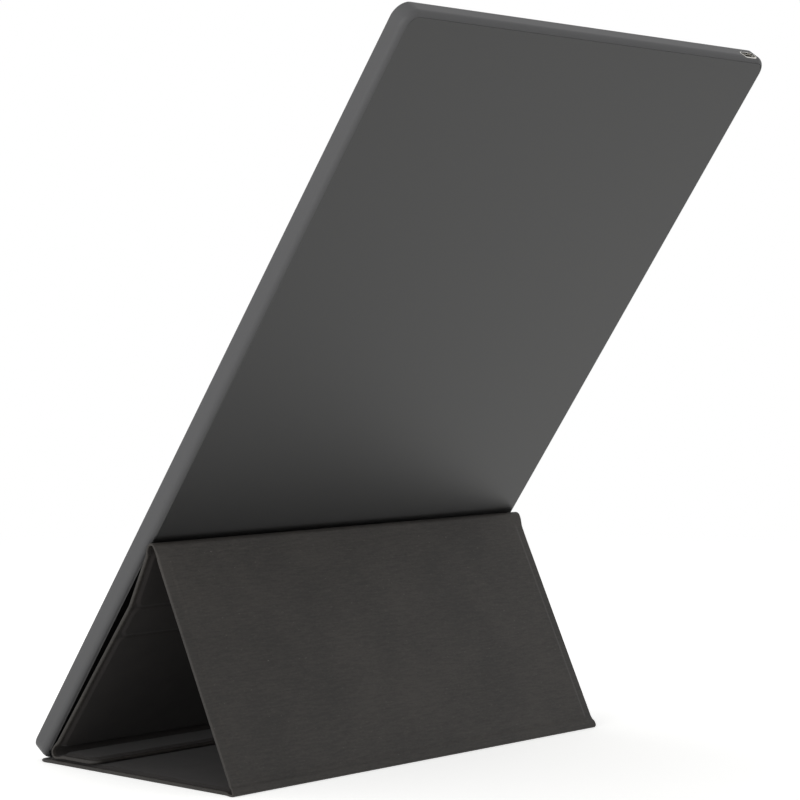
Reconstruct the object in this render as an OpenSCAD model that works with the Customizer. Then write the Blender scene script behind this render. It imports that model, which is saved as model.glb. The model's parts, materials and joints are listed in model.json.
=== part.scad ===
// Portable monitor standing upright on its folded cover.
// X runs across the display, +Y points to the rear of the stand, +Z is up.
// The origin is the centre of the cover base's underside.

/* [Display] */
// Width of the display across the stand, its short side
disp_w = 226.4; // [180:0.2:280]
// Length of the display up its lean, its long side
disp_h = 359.7; // [290:0.1:440]
// Thickness of the display
disp_t = 8.0; // [7.8:0.1:11]
// Corner radius of the display, seen from the front
corner_r = 6.7; // [6.4:0.1:8]
// Fillet where the side band turns in to the back plate
band_fillet = 2.6; // [2.4:0.1:3.2]
// Lean of the screen, measured up from the table
lean = 54.7; // [50:0.1:60]

/* [Screen] */
// Width of the wide border that holds the keys
chin_w = 24.0; // [22:0.1:32]
// Width of the narrow border opposite the keys
far_border = 8.9; // [8.5:0.1:14]
// Width of the borders at the two ends
end_border = 7.75; // [7.5:0.05:12]

/* [Casing] */
// Thickness of the side walls of the frame
wall_t = 2.4; // [1.8:0.1:2.8]
// Thickness of the metal back plate
plate_t = 0.8; // [0.6:0.1:1.0]
// Distance from the outline to the edge of the back plate
plate_inset = 2.0; // [1.6:0.1:2.2]
// Thickness of the front bezel
bezel_t = 0.8; // [0.6:0.1:0.9]
// Width of the frame's lip round the bezel
bezel_lip = 0.6; // [0.5:0.1:1.0]

/* [Ports and keys] */
// Centre of the socket from the keyed long side
socket_from_side = 11.6; // [11:0.1:14]
// Bore radius of the pen hole
pen_r = 4.5; // [3.5:0.1:4.8]
// Centre of the pen hole from both edges of its corner
pen_from_edge = 10.8; // [10:0.1:12]
// Length of a key cap
key_len = 14; // [10:0.5:18]
// Width of a key cap
key_w = 4; // [3:0.1:5]
// Travel of a key
key_travel = 0.25; // [0.15:0.01:0.28]
// Distance from the top end to the menu key
menu_from_end = 30; // [26:0.5:45]
// Distance from the bottom end to the power key
power_from_end = 34; // [32:0.5:45]

/* [Cover] */
// How far the cover reaches past each long side of the display, below zero where it stops short
cover_over = -0.5; // [-1:0.1:3]
// How far the cover sits off the display's middle, towards the display's thin border
cover_shift = 0.4; // [0:0.1:2]
// Thickness of the outer skin
skin_t = 0.5; // [0.4:0.05:0.8]
// Thickness of the inner lining
lining_t = 0.45; // [0.4:0.05:0.6]
// Thickness of the stiff board in each panel
board_t = 1.4; // [1.0:0.1:2.0]
// Distance between the rear fold and the ridge fold
flap_len = 102.4; // [85:0.1:125]
// Lean of the rear flap, measured up from the table
flap_angle = 64.1; // [58:0.1:68]
// Distance down the front panel from the ridge fold to its crease
crease_from_ridge = 27.3; // [20:0.1:36]
// How far the crease sags behind the straight line from ridge to toe
crease_sag = 3.8; // [1:0.1:4.5]
// Width of the narrow strip below the crease
strip_len = 15.5; // [12:0.5:24]
// Length of the tongue that lies on the base
tongue_len = 24; // [18:0.5:32]
// Width of the flat border round a board
border_w = 4; // [3:0.1:6]
// Flat border at the front edge of the base, where the display stands
front_border = 6; // [6:0.1:8]
// Radius of the cover's free corners
cover_corner_r = 5; // [2:0.5:7]

/* [Fits] */
// Gap between bodies that rest on each other
rest_gap = 0.2; // [0.15:0.05:0.4]
// Gap between the display and the ridge it leans on
lean_gap = 0.3; // [0.2:0.05:0.5]
// Gap round a key cap in its hole
key_gap = 0.12; // [0.08:0.01:0.2]
// Gap round pieces that fit in a pocket
fit_gap = 0.05; // [0.03:0.01:0.1]

/* [Hidden] */

$fn = 64;
eps = 0.01;

// Cover stack, measured from a fold's axis: the outer face lies fold_r away on the outer side
panel_t = skin_t + board_t + lining_t;
axis_gap = 0.2;
fold_r = panel_t + axis_gap;
hem_t = skin_t + lining_t;
cover_w = disp_w + 2 * cover_over;
seam_w = 0.8;
seam_depth = 0.25;
fold_margin = 3;
fold_trim = 0.2;
board_corner_r = 2;
crease_gap = 3;

// The rear fold is creased sharp, so its axis lies nearer to the outer faces than the other two
rear_r = hem_t + 0.25;
rear_drop = fold_r - rear_r;

// Side view of the tent, first with the rear fold's axis as its zero
flap_dir = 180 - flap_angle;
flap_dy = -rear_drop * sin(flap_dir);
flap_z = rear_r + rear_drop * cos(flap_dir);
toe_relief = 1.2;
front_dir = 180 + lean + toe_relief;
ridge_dy = flap_dy - flap_len * cos(flap_angle);
ridge_z = flap_z + flap_len * sin(flap_angle);
toe_z = panel_t + rest_gap + fold_r;
front_len = (ridge_z - toe_z) / sin(lean + toe_relief);
toe_dy = ridge_dy - front_len * cos(lean + toe_relief);

// The front panel's two straight runs, from the ridge to the crease and from the crease to the toe
upper_dir = front_dir + asin(crease_sag / crease_from_ridge);
lower_run = front_len - sqrt(pow(crease_from_ridge, 2) - pow(crease_sag, 2));
lower_dir = front_dir - atan(crease_sag / lower_run);
lower_len = sqrt(pow(lower_run, 2) + pow(crease_sag, 2));

// The display rests on the base's front border by its rear fillet and leans on the ridge
band_z0 = 0.2;
fillet_depth = disp_t - band_z0 - band_fillet;
foot_z = hem_t + rest_gap;
disp_z = foot_z + band_fillet - band_fillet * sin(lean) + fillet_depth * cos(lean);
ridge_depth = disp_t + fold_r + lean_gap;
disp_dy = ridge_dy - (ridge_depth + (ridge_z - disp_z) * cos(lean)) / sin(lean);
foot_dy = disp_dy + band_fillet * cos(lean) + fillet_depth * sin(lean);
front_margin = 1.8;
base_len = rear_r - foot_dy + front_margin;

// Side view of the tent in the part's own frame
rear_y = base_len / 2 - rear_r;
ridge_y = rear_y + ridge_dy;
toe_y = rear_y + toe_dy;
crease_y = ridge_y + crease_from_ridge * cos(upper_dir);
crease_z = ridge_z + crease_from_ridge * sin(upper_dir);
disp_y = rear_y + disp_dy;
base_front = foot_dy - front_margin;

// Levels in the display, up from its back face
bezel_z = disp_t - bezel_t;
gasket_t = 0.2;
glass_t = 1.1;
glass_z = bezel_z - gasket_t - glass_t;
flange_t = 0.3;
film_t = 0.4;
guide_t = 1.4;
tray_t = 0.3;
guide_z = glass_z - flange_t - fit_gap - film_t - guide_t;
shelf_z = guide_z - fit_gap - tray_t;
shelf_w = 7.5;

// Screen window and the panel module behind it
win_x0 = -disp_w / 2 + chin_w;
win_x1 = disp_w / 2 - far_border;
win_y0 = end_border;
win_y1 = disp_h - end_border;
lap = 3;
mod_x0 = win_x0 - lap;
mod_x1 = win_x1 + lap;
mod_y0 = win_y0 - lap;
mod_y1 = win_y1 + lap;
mould_w = 2;
led_w = 0.9;

// Chin bay for the boards, beside the panel module
rib_t = 1.3;
bay_x0 = -disp_w / 2 + wall_t;
bay_x1 = mod_x0 - fit_gap - rib_t;
chin_x = (bay_x0 + bay_x1) / 2;
bay_y0 = wall_t;
bay_y1 = disp_h - wall_t;
bay_corner_r = corner_r - wall_t - 1.3;
pcb_t = 0.7;
pcb_gap = 1.0;
flex_t = 0.1;
pcb_top = glass_z - flex_t - 0.02;
pcb_z = pcb_top - pcb_t;
pen_x = -disp_w / 2 + pen_from_edge;
pen_sleeve_t = 1;
pen_hole_r = pen_r + pen_sleeve_t + fit_gap;

// Socket, sized as a reversible 24-way receptacle
shell_w = 8.94;
shell_h = 3.16;
shell_len = 7.3;
shell_wall = 0.3;
shell_recess = 0.8;
rim_w = 10.2;
rim_h = 4.2;
rim_depth = 1.2;
socket_x = -disp_w / 2 + socket_from_side;
socket_z = pcb_z - shell_h / 2;
shell_y1 = disp_h - shell_recess;
contact_w = 6.7;
contact_t = 0.7;

// Keys and their switches
key_x = chin_x;
menu_y = disp_h - menu_from_end;
power_y = power_from_end;
key_flange = 0.9;
flange_top = bezel_z - fit_gap;
key_flange_t = 0.45;
switch_top = flange_top - key_flange_t - key_travel - fit_gap;
switch_w = 3.2;
switch_len = 4.4;
plunger_r = 0.9;
plunger_h = 0.15;
lamp_r = 0.9;
lamp_flange = 0.5;
lamp_y = power_y + key_len / 2 + 6;

// Boards in the chin bay
main_y1 = shell_y1 - shell_len + 4;
main_y0 = menu_y - 78;
keys_y0 = pen_from_edge + 11;
keys_y1 = lamp_y + 8;
pcb_x0 = bay_x0 + pcb_gap;
pcb_x1 = bay_x1 - pcb_gap;
boss_r = 2;
boss_x = [pcb_x0 + boss_r, pcb_x1 - boss_r];
boss_y = [keys_y0 + 4, keys_y1 - 4, main_y0 + 5, menu_y - 12];
pilot_r = 0.82;
screw_r = 0.8;
screw_len = 2.0;
pilot_len = 2.2;
screw_head_r = 1.5;
screw_head_t = 0.6;
driver_w = 7;
driver_gap = 0.2;
ledge_w = 2.2;
ledge_len = 6;
cable_t = 0.2;
cable_lap = 2;
driver_y0 = keys_y1 + 16;
driver_y1 = main_y0 - 10;
flex_n = 4;
flex_w = 26;
flex_pitch = (driver_y1 - driver_y0) / flex_n;
flex_y = [for (i = [0:flex_n - 1]) driver_y0 + flex_pitch * (i + 0.5)];

// Main board's packages: centre across the bay, start along it, width, length and height
can_y = main_y0 + 15;
can_w = 10;
can_len = 27;
can_h = 1.6;
can_wall = 0.2;
heat_t = 0.2;
packages = [
    [chin_x, can_y + 3, 8, 8, 1.0], [chin_x, can_y + 16, 8, 8, 1.0], [chin_x, main_y0 + 45, 5, 4, 0.8],
    [chin_x, menu_y + 2, 6, 6, 0.9], [chin_x - 4, main_y0 + 54, 5, 5, 2.0]
];

// Magnets that clip the display to the front panel and the tongue to the base
magnet_l = 24;
magnet_w = 6;
magnet_x = [-60, 60];
front_magnet_d = [strip_len + 14, lower_len - 13];
ridge_v = (ridge_y - disp_y) * cos(lean) + (ridge_z - disp_z) * sin(lean);
tongue_magnet_d = tongue_len / 2;
display_magnet_t = 1.6;

// Places a flat display: its back face goes down at z = 0 and its screen up at z = disp_t
module display_place() {
    translate([-cover_shift, disp_y + disp_t * sin(lean), disp_z - disp_t * cos(lean)])
        rotate([lean, 0, 0])
            children();
}

// Places a flat panel that runs along +Y from a fold's axis, with its outer face down
module panel_place(y, z, dir) {
    translate([0, y, z])
        rotate([dir, 0, 0])
            children();
}

module base_place() {
    panel_place(rear_y, fold_r, 0) children();
}

module rear_place() {
    panel_place(rear_y + flap_dy, flap_z, flap_dir) children();
}

module upper_place() {
    panel_place(ridge_y, ridge_z, upper_dir) children();
}

module lower_place() {
    panel_place(crease_y, crease_z, lower_dir) children();
}

module tongue_place() {
    panel_place(toe_y, toe_z, 360) children();
}

// Rectangle from corner to corner
module span(x0, x1, y0, y1) {
    translate([x0, y0])
        square([x1 - x0, y1 - y0]);
}

module block(x0, x1, y0, y1, z0, z1) {
    translate([x0, y0, z0])
        cube([x1 - x0, y1 - y0, z1 - z0]);
}

// Rectangle whose corners have radius r0 at its y0 end and r1 at its y1 end
module round_span(x0, x1, y0, y1, r0, r1) {
    span(x0, x1, y0 + r0, y1 - r1);
    span(x0 + r0, x1 - r0, y0, y1 - r1);
    span(x0 + r1, x1 - r1, y0 + r0, y1);
    if (r0 > 0)
        for (x = [x0 + r0, x1 - r0])
            translate([x, y0 + r0])
                circle(r0);
    if (r1 > 0)
        for (x = [x0 + r1, x1 - r1])
            translate([x, y1 - r1])
                circle(r1);
}

// Outline of the display drawn in by a distance
module display_outline(inset) {
    r = corner_r - inset;
    round_span(-disp_w / 2 + inset, disp_w / 2 - inset, inset, disp_h - inset, r, r);
}

// Half section of a slab: filleted below by e and chamfered above by c
module slab_edge(reach, e, c, z0, z1) {
    polygon([[0, z0], [reach - e, z0], [reach - e, z0 + e], [reach, z0 + e],
             [reach, z1 - c], [reach - c, z1], [0, z1]]);
    translate([reach - e, z0 + e])
        circle(e);
}

module slab_section(half, e, c, z0, z1) {
    slab_edge(half, e, c, z0, z1);
    mirror([1, 0])
        slab_edge(half, e, c, z0, z1);
}

// Rounded slab with one edge profile all round: four turned corners and two crossed bars
module soft_slab(w, h, r, e, c, z0, z1) {
    for (x = [-1, 1], y = [-1, 1])
        translate([x * (w / 2 - r), y * (h / 2 - r), 0])
            rotate_extrude()
                slab_edge(r, e, c, z0, z1);
    rotate([90, 0, 0])
        linear_extrude(h - 2 * r, center = true)
            slab_section(w / 2, e, c, z0, z1);
    rotate([90, 0, 90])
        linear_extrude(w - 2 * r, center = true)
            slab_section(h / 2, e, c, z0, z1);
}

// Slot with round ends, w wide along X and h high, centred
module stadium(w, h) {
    square([w - h, h], center = true);
    for (x = [-1, 1])
        translate([x * (w - h) / 2, 0])
            circle(h / 2);
}

// Key outline, long along Y
module key_outline(grow) {
    rotate(90)
        stadium(key_len + 2 * grow, key_w + 2 * grow);
}

// Socket-shaped prism that runs down -Y from y1
module socket_prism(w, h, y0, y1) {
    translate([socket_x, y1, socket_z])
        rotate([90, 0, 0])
            linear_extrude(y1 - y0)
                stadium(w, h);
}

// Frame

// Outer body of the side band
module band_body() {
    translate([0, disp_h / 2, 0])
        soft_slab(disp_w, disp_h, corner_r, band_fillet, 0.3, band_z0, disp_t);
}

module band_hollows() {
    translate([0, 0, -eps])
        linear_extrude(plate_t + eps)
            display_outline(plate_inset);
    translate([0, 0, bezel_z])
        linear_extrude(bezel_t + 1)
            display_outline(bezel_lip);
    translate([0, 0, -1])
        linear_extrude(disp_t + 2)
            round_span(bay_x0, bay_x1, bay_y0, bay_y1, bay_corner_r, bay_corner_r);
    block(mod_x0 - fit_gap, disp_w / 2 - wall_t, bay_y0, bay_y1, shelf_z, disp_t + 1);
    block(mod_x0 + 3, disp_w / 2 - shelf_w, shelf_w, disp_h - shelf_w, -1, disp_t);
}

// Post in the chin bay that carries a board screw, webbed to the nearer wall
module board_boss(i, y) {
    x = boss_x[i];
    wall_x = i == 0 ? bay_x0 - eps : bay_x1 + eps;
    translate([x, y, plate_t])
        cylinder(r = boss_r, h = pcb_z - plate_t);
    block(min(x, wall_x), max(x, wall_x), y - 1.2, y + 1.2, plate_t, pcb_z);
}

module pen_boss() {
    intersection() {
        translate([pen_x, pen_from_edge, plate_t])
            cylinder(r = pen_from_edge - wall_t + 0.5, h = bezel_z - plate_t);
        block(-disp_w / 2 + 1, bay_x1 + 1, 1, 2 * pen_from_edge, 0, disp_t);
    }
}

// Ledges on the chin rib that carry the driver board
module driver_ledges() {
    for (y = flex_y)
        block(bay_x1 - ledge_w, bay_x1 + eps, y + flex_w / 2, y + flex_w / 2 + ledge_len, shelf_z, pcb_z);
}

module side_frame() {
    color("dimgray")
        display_place()
            difference() {
                union() {
                    difference() {
                        band_body();
                        band_hollows();
                    }
                    for (i = [0, 1], y = boss_y)
                        board_boss(i, y);
                    pen_boss();
                    driver_ledges();
                }
                for (x = boss_x, y = boss_y)
                    translate([x, y, pcb_z - pilot_len])
                        cylinder(r = pilot_r, h = pilot_len + 1);
                for (y = flex_y)
                    block(bay_x1 - 1, mod_x0 + 1, y - flex_w / 2 - 1, y + flex_w / 2 + 1,
                          pcb_top - 0.3, disp_t);
                socket_prism(shell_w + 2 * fit_gap, shell_h + 2 * fit_gap, bay_y1 - 1, disp_h + 1);
                socket_prism(rim_w + 2 * fit_gap, rim_h + 2 * fit_gap, disp_h - rim_depth, disp_h + 1);
                translate([pen_x, pen_from_edge, -1])
                    cylinder(r = pen_hole_r, h = disp_t + 2);
            }
}

// Rear cover: a flat plate with a fine bright chamfer round its outer edge
module back_plate() {
    inset = plate_inset + fit_gap;
    color("dimgray")
        display_place()
            difference() {
                translate([0, disp_h / 2, 0])
                    mirror([0, 0, 1])
                        soft_slab(disp_w - 2 * inset, disp_h - 2 * inset, corner_r - inset,
                                  plate_t / 4, plate_t / 2, -plate_t, 0);
                translate([pen_x, pen_from_edge, -1])
                    cylinder(r = pen_hole_r, h = disp_t);
            }
}

// Screen window with sides that slope in to the glass
module window_cut() {
    slope = bezel_t - 0.3;
    wx = win_x1 - win_x0;
    wy = win_y1 - win_y0;
    module sloped(half) {
        polygon([[-half, -1], [half, -1], [half, 0.3], [half + slope, bezel_t],
                 [half + slope, bezel_t + 1], [-half - slope, bezel_t + 1],
                 [-half - slope, bezel_t], [-half, 0.3]]);
    }
    translate([(win_x0 + win_x1) / 2, (win_y0 + win_y1) / 2, bezel_z])
        intersection() {
            rotate([90, 0, 0])
                linear_extrude(wy + 20, center = true)
                    sloped(wx / 2);
            rotate([90, 0, 90])
                linear_extrude(wx + 20, center = true)
                    sloped(wy / 2);
        }
}

module front_bezel() {
    color("black")
        display_place()
            difference() {
                translate([0, 0, bezel_z])
                    linear_extrude(bezel_t)
                        display_outline(bezel_lip + fit_gap);
                window_cut();
                for (y = [menu_y, power_y])
                    translate([key_x, y, bezel_z - 1])
                        linear_extrude(bezel_t + 2)
                            key_outline(key_gap);
                translate([key_x, lamp_y, bezel_z - 1])
                    cylinder(r = lamp_r + fit_gap, h = bezel_t + 2);
                translate([pen_x, pen_from_edge, 0])
                    cylinder(r = pen_hole_r, h = disp_t + 1);
            }
}

// Panel module

module lcd_panel() {
    color("darkslategray")
        display_place()
            block(mod_x0, mod_x1, mod_y0, mod_y1, glass_z, glass_z + glass_t);
}

module bezel_gasket() {
    color("black")
        display_place()
            translate([0, 0, glass_z + glass_t])
                linear_extrude(gasket_t)
                    difference() {
                        span(mod_x0, mod_x1, mod_y0, mod_y1);
                        span(win_x0 - 0.8, win_x1 + 0.8, win_y0 - 0.8, win_y1 + 0.8);
                    }
}

// Rectangle of the panel module drawn in by a distance
module module_span(inset) {
    span(mod_x0 + inset, mod_x1 - inset, mod_y0 + inset, mod_y1 - inset);
}

module backlight_tray() {
    color("silver")
        display_place()
            translate([0, 0, shelf_z])
                difference() {
                    linear_extrude(glass_z - flange_t - shelf_z)
                        module_span(0);
                    translate([0, 0, tray_t])
                        linear_extrude(disp_t)
                            module_span(tray_t);
                }
}

// Moulded ring that seats the glass on the tray
module panel_mould() {
    color("whitesmoke")
        display_place()
            difference() {
                union() {
                    translate([0, 0, shelf_z + tray_t])
                        linear_extrude(glass_z - shelf_z - tray_t)
                            module_span(tray_t + fit_gap);
                    translate([0, 0, glass_z - flange_t])
                        linear_extrude(flange_t)
                            module_span(0);
                }
                translate([0, 0, shelf_z])
                    linear_extrude(disp_t)
                        module_span(mould_w);
                for (y = flex_y)
                    block(mod_x0 - 1, mod_x0 + mould_w + 1, y - flex_w / 2 - 0.5,
                          y + flex_w / 2 + 0.5, glass_z - flange_t, glass_z + 1);
            }
}

module led_strip() {
    x0 = mod_x0 + mould_w + fit_gap;
    n = 32;
    pitch = (mod_y1 - mod_y0 - 2 * mould_w - 8) / n;
    color("ivory")
        display_place() {
            block(x0, x0 + 0.25, mod_y0 + mould_w + 1, mod_y1 - mould_w - 1, guide_z, guide_z + 1.2);
            for (i = [0:n - 1])
                block(x0 + 0.2, x0 + led_w - fit_gap, mod_y0 + mould_w + 5 + i * pitch,
                      mod_y0 + mould_w + 9 + i * pitch, guide_z + 0.1, guide_z + 1.1);
        }
}

module light_guide() {
    color("lightcyan")
        display_place()
            block(mod_x0 + mould_w + fit_gap + led_w, mod_x1 - mould_w - fit_gap,
                  mod_y0 + mould_w + fit_gap, mod_y1 - mould_w - fit_gap, guide_z, guide_z + guide_t);
}

module film_stack() {
    color("white")
        display_place()
            block(mod_x0 + mould_w + fit_gap + led_w, mod_x1 - mould_w - fit_gap,
                  mod_y0 + mould_w + fit_gap, mod_y1 - mould_w - fit_gap,
                  guide_z + guide_t, guide_z + guide_t + film_t);
}

// Foam pads between the back plate and the tray
module spacer_pads() {
    color("dimgray")
        display_place()
            for (x = [-40, 8, 56], y = [disp_h * 0.45, disp_h * 0.68, disp_h * 0.9])
                block(x, x + 30, y - 6, y + 6, plate_t, shelf_z);
}

// Electronics in the chin bay

module board_holes() {
    for (x = boss_x, y = boss_y)
        translate([x, y, 0])
            cylinder(r = screw_r + 0.2, h = disp_t);
}

module main_board() {
    color("darkgreen")
        display_place()
            difference() {
                block(pcb_x0, pcb_x1, main_y0, main_y1, pcb_z, pcb_top);
                board_holes();
            }
}

module key_board() {
    color("darkgreen")
        display_place()
            difference() {
                block(pcb_x0, pcb_x1, keys_y0, keys_y1, pcb_z, pcb_top);
                board_holes();
            }
}

module driver_board() {
    color("green")
        display_place()
            block(bay_x1 - driver_gap - driver_w, bay_x1 - driver_gap, driver_y0, driver_y1, pcb_z, pcb_top);
}

// Packages on the rear face of the main board
module board_chips() {
    color("black")
        display_place()
            for (p = packages)
                block(p[0] - p[2] / 2, p[0] + p[2] / 2, p[1], p[1] + p[3], pcb_z - p[4], pcb_z);
}

module shield_can() {
    color("lightgray")
        display_place()
            difference() {
                block(chin_x - can_w / 2, chin_x + can_w / 2, can_y, can_y + can_len, pcb_z - can_h, pcb_z);
                block(chin_x - can_w / 2 + can_wall, chin_x + can_w / 2 - can_wall, can_y + can_wall,
                      can_y + can_len - can_wall, pcb_z - can_h + can_wall, pcb_z + 1);
            }
}

module thermal_pad() {
    inset = 0.5;
    color("lightblue")
        display_place()
            block(chin_x - can_w / 2 + inset, chin_x + can_w / 2 - inset, can_y + inset,
                  can_y + can_len - inset, plate_t + heat_t, pcb_z - can_h);
}

// Graphite sheet stuck to the inside of the back plate, between the screw posts
module heat_sheet() {
    reach = boss_r + 1;
    color("darkslategray")
        display_place()
            block(boss_x[0], boss_x[1], boss_y[2] + reach, boss_y[3] - reach, plate_t, plate_t + heat_t);
}

module board_screws() {
    color("silver")
        display_place()
            for (x = boss_x, y = boss_y)
                translate([x, y, pcb_z - screw_len])
                    union() {
                        cylinder(r = screw_r, h = screw_len + pcb_t + eps);
                        translate([0, 0, screw_len + pcb_t])
                            cylinder(r = screw_head_r, h = screw_head_t);
                    }
}

// Films that join the driver board to the glass through notches in the rib
module panel_flexes() {
    color("orange")
        display_place()
            for (y = flex_y)
                block(bay_x1 - 3, mod_x0 + mould_w, y - flex_w / 2, y + flex_w / 2,
                      pcb_top, pcb_top + flex_t);
}

// Flat cable over the gap between two boards, lying on both of them
module flat_cable(x0, x1, y0, y1) {
    block(x0, x1, y0 - cable_lap, y1 + cable_lap, pcb_top, pcb_top + cable_t);
}

module video_flex() {
    color("white")
        display_place()
            flat_cable(bay_x1 - driver_w + 0.5, bay_x1 - 3.5, driver_y1, main_y0);
}

module key_flex() {
    color("white")
        display_place()
            flat_cable(pcb_x0 + 0.6, pcb_x0 + 4.6, keys_y1, main_y0);
}

// Socket

module socket_shell() {
    color("silver")
        display_place()
            difference() {
                socket_prism(shell_w, shell_h, shell_y1 - shell_len, shell_y1);
                socket_prism(shell_w - 2 * shell_wall, shell_h - 2 * shell_wall,
                             shell_y1 - shell_len + shell_wall, shell_y1 + 1);
            }
}

module socket_tongue() {
    color("black")
        display_place()
            block(socket_x - contact_w / 2, socket_x + contact_w / 2, shell_y1 - shell_len + shell_wall,
                  shell_y1 - 0.7, socket_z - contact_t / 2, socket_z + contact_t / 2);
}

// Bright rim in the mouth of the socket, trimmed to the curve of the side band
module socket_rim() {
    color("silver")
        display_place()
            intersection() {
                difference() {
                    socket_prism(rim_w, rim_h, disp_h - rim_depth, disp_h);
                    socket_prism(shell_w + 2 * fit_gap, shell_h + 2 * fit_gap,
                                 disp_h - rim_depth - 1, disp_h + 1);
                }
                translate([0, disp_h / 2 - 0.06, 0])
                    soft_slab(disp_w, disp_h, corner_r, band_fillet, 0.3, band_z0, disp_t);
            }
}

module pen_sleeve() {
    color("black")
        display_place()
            translate([pen_x, pen_from_edge, 0])
                difference() {
                    cylinder(r = pen_r + pen_sleeve_t, h = disp_t);
                    translate([0, 0, -1])
                        cylinder(r = pen_r, h = disp_t + 2);
                }
}

// Keys

// Cap that stands in the bezel, with a flange that stops it from below
module key_cap(y) {
    color("black")
        display_place()
            translate([key_x, y, 0])
                union() {
                    translate([0, 0, flange_top - key_flange_t])
                        linear_extrude(key_flange_t)
                            key_outline(key_flange);
                    translate([0, 0, flange_top - key_flange_t])
                        linear_extrude(disp_t - flange_top + key_flange_t)
                            key_outline(0);
                }
}

module menu_key() {
    key_cap(menu_y);
}

module power_key() {
    key_cap(power_y);
}

module tact_switch(y) {
    color("silver")
        display_place()
            union() {
                block(key_x - switch_w / 2, key_x + switch_w / 2, y - switch_len / 2, y + switch_len / 2,
                      pcb_top, switch_top - plunger_h);
                translate([key_x, y, pcb_top])
                    cylinder(r = plunger_r, h = switch_top - pcb_top);
            }
}

module menu_switch() {
    tact_switch(menu_y);
}

module power_switch() {
    tact_switch(power_y);
}

module power_lamp() {
    color("white")
        display_place()
            translate([key_x, lamp_y, 0])
                union() {
                    translate([0, 0, pcb_top])
                        cylinder(r = lamp_r + lamp_flange, h = flange_top - pcb_top);
                    translate([0, 0, pcb_top])
                        cylinder(r = lamp_r, h = disp_t - pcb_top);
                }
}

module display_magnets() {
    color("silver")
        display_place()
            for (x = magnet_x, d = front_magnet_d)
                translate([x, ridge_v - crease_from_ridge - d, plate_t + display_magnet_t / 2])
                    cube([magnet_l, magnet_w, display_magnet_t], center = true);
}

// Cover panels, drawn flat with the outer face down at z = -fold_r

// Outline of a board that reaches from one y to the other
module board_span(reach, grow) {
    r = board_corner_r + grow;
    round_span(-cover_w / 2 + border_w - grow, cover_w / 2 - border_w + grow,
               reach[0] - grow, reach[1] + grow, r, r);
}

// Pressed seam that shows in the skin round the board beneath
module seam(reach) {
    translate([0, 0, -fold_r - 1])
        linear_extrude(1 + seam_depth)
            difference() {
                board_span(reach, seam_w);
                board_span(reach, 0);
            }
}

// Lining where it is raised over a board
module raised(reach) {
    translate([0, 0, -fold_r + skin_t + lining_t / 2])
        linear_extrude(board_t + lining_t / 2)
            board_span(reach, lining_t);
}

module board_room(reach) {
    translate([0, 0, -fold_r])
        linear_extrude(skin_t + board_t)
            board_span(reach, 0);
}

module flat_sheet(y0, y1, r0, r1, z0, t) {
    translate([0, 0, -fold_r + z0])
        linear_extrude(t)
            round_span(-cover_w / 2, cover_w / 2, y0, y1, r0, r1);
}

module flat_skin(y0, y1, r0, r1, reach) {
    difference() {
        flat_sheet(y0, y1, r0, r1, 0, skin_t);
        seam(reach);
    }
}

// Lining: flat on the border and raised over the board
module flat_lining(y0, y1, r0, r1, reach) {
    difference() {
        union() {
            flat_sheet(y0, y1, r0, r1, skin_t, lining_t);
            raised(reach);
        }
        board_room(reach);
    }
}

module magnet_pockets(ys, grow) {
    for (x = magnet_x, y = ys)
        span(x - magnet_l / 2 - grow, x + magnet_l / 2 + grow,
             y - magnet_w / 2 - grow, y + magnet_w / 2 + grow);
}

module panel_board(reach, magnet_y) {
    translate([0, 0, -fold_r + skin_t])
        linear_extrude(board_t)
            difference() {
                board_span(reach, 0);
                magnet_pockets(magnet_y, fit_gap);
            }
}

module panel_magnets(magnet_y) {
    translate([0, 0, -fold_r + skin_t])
        linear_extrude(board_t)
            magnet_pockets(magnet_y, 0);
}

// Soft fold: skin and lining bent round the axis between two outer normals, a hair short at both ends
module fold_strip(y, z, r, a0, a1) {
    steps = 4;
    turn = a1 - a0 - 2 * fold_trim;
    translate([0, y, z])
        rotate([90, 0, 90])
            linear_extrude(cover_w, center = true)
                intersection() {
                    difference() {
                        circle(r);
                        circle(r - hem_t);
                    }
                    polygon(concat([[0, 0]], [for (i = [0:steps])
                        let (a = a0 + fold_trim + turn * i / steps) 3 * r * [cos(a), sin(a)]]));
                }
}

// Base

base_magnet_y = toe_dy + tongue_magnet_d;
base_reach = [base_front + front_border, -fold_margin];

module base_skin() {
    color("darkslategray")
        base_place()
            flat_skin(base_front, 0, cover_corner_r, 0, base_reach);
}

module base_board() {
    color("burlywood")
        base_place()
            panel_board(base_reach, [base_magnet_y]);
}

module base_lining() {
    color("gray")
        base_place()
            flat_lining(base_front, 0, cover_corner_r, 0, base_reach);
}

module base_magnets() {
    color("silver")
        base_place()
            panel_magnets([base_magnet_y]);
}

module rear_fold() {
    color("darkslategray")
        fold_strip(rear_y, rear_r, rear_r, -90, flap_dir - 90);
}

// Rear flap

rear_reach = [fold_margin, flap_len - fold_margin];

module rear_skin() {
    color("darkslategray")
        rear_place()
            flat_skin(0, flap_len, 0, 0, rear_reach);
}

module rear_board() {
    color("burlywood")
        rear_place()
            panel_board(rear_reach, []);
}

module rear_lining() {
    color("gray")
        rear_place()
            flat_lining(0, flap_len, 0, 0, rear_reach);
}

module ridge_fold() {
    color("darkslategray")
        fold_strip(ridge_y, ridge_z, fold_r, flap_dir - 90, upper_dir - 90);
}

// Front panel: three boards, and a crease between the upper and the narrow one

upper_reach = [fold_margin, crease_from_ridge - crease_gap / 2];
strip_reach = [crease_gap / 2, strip_len - crease_gap / 2];
lower_reach = [strip_len + crease_gap / 2, lower_len - fold_margin];

// Point a distance r outside a fold's axis
function outside(y, z, dir, r) = [y + r * sin(dir), z - r * cos(dir)];

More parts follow.
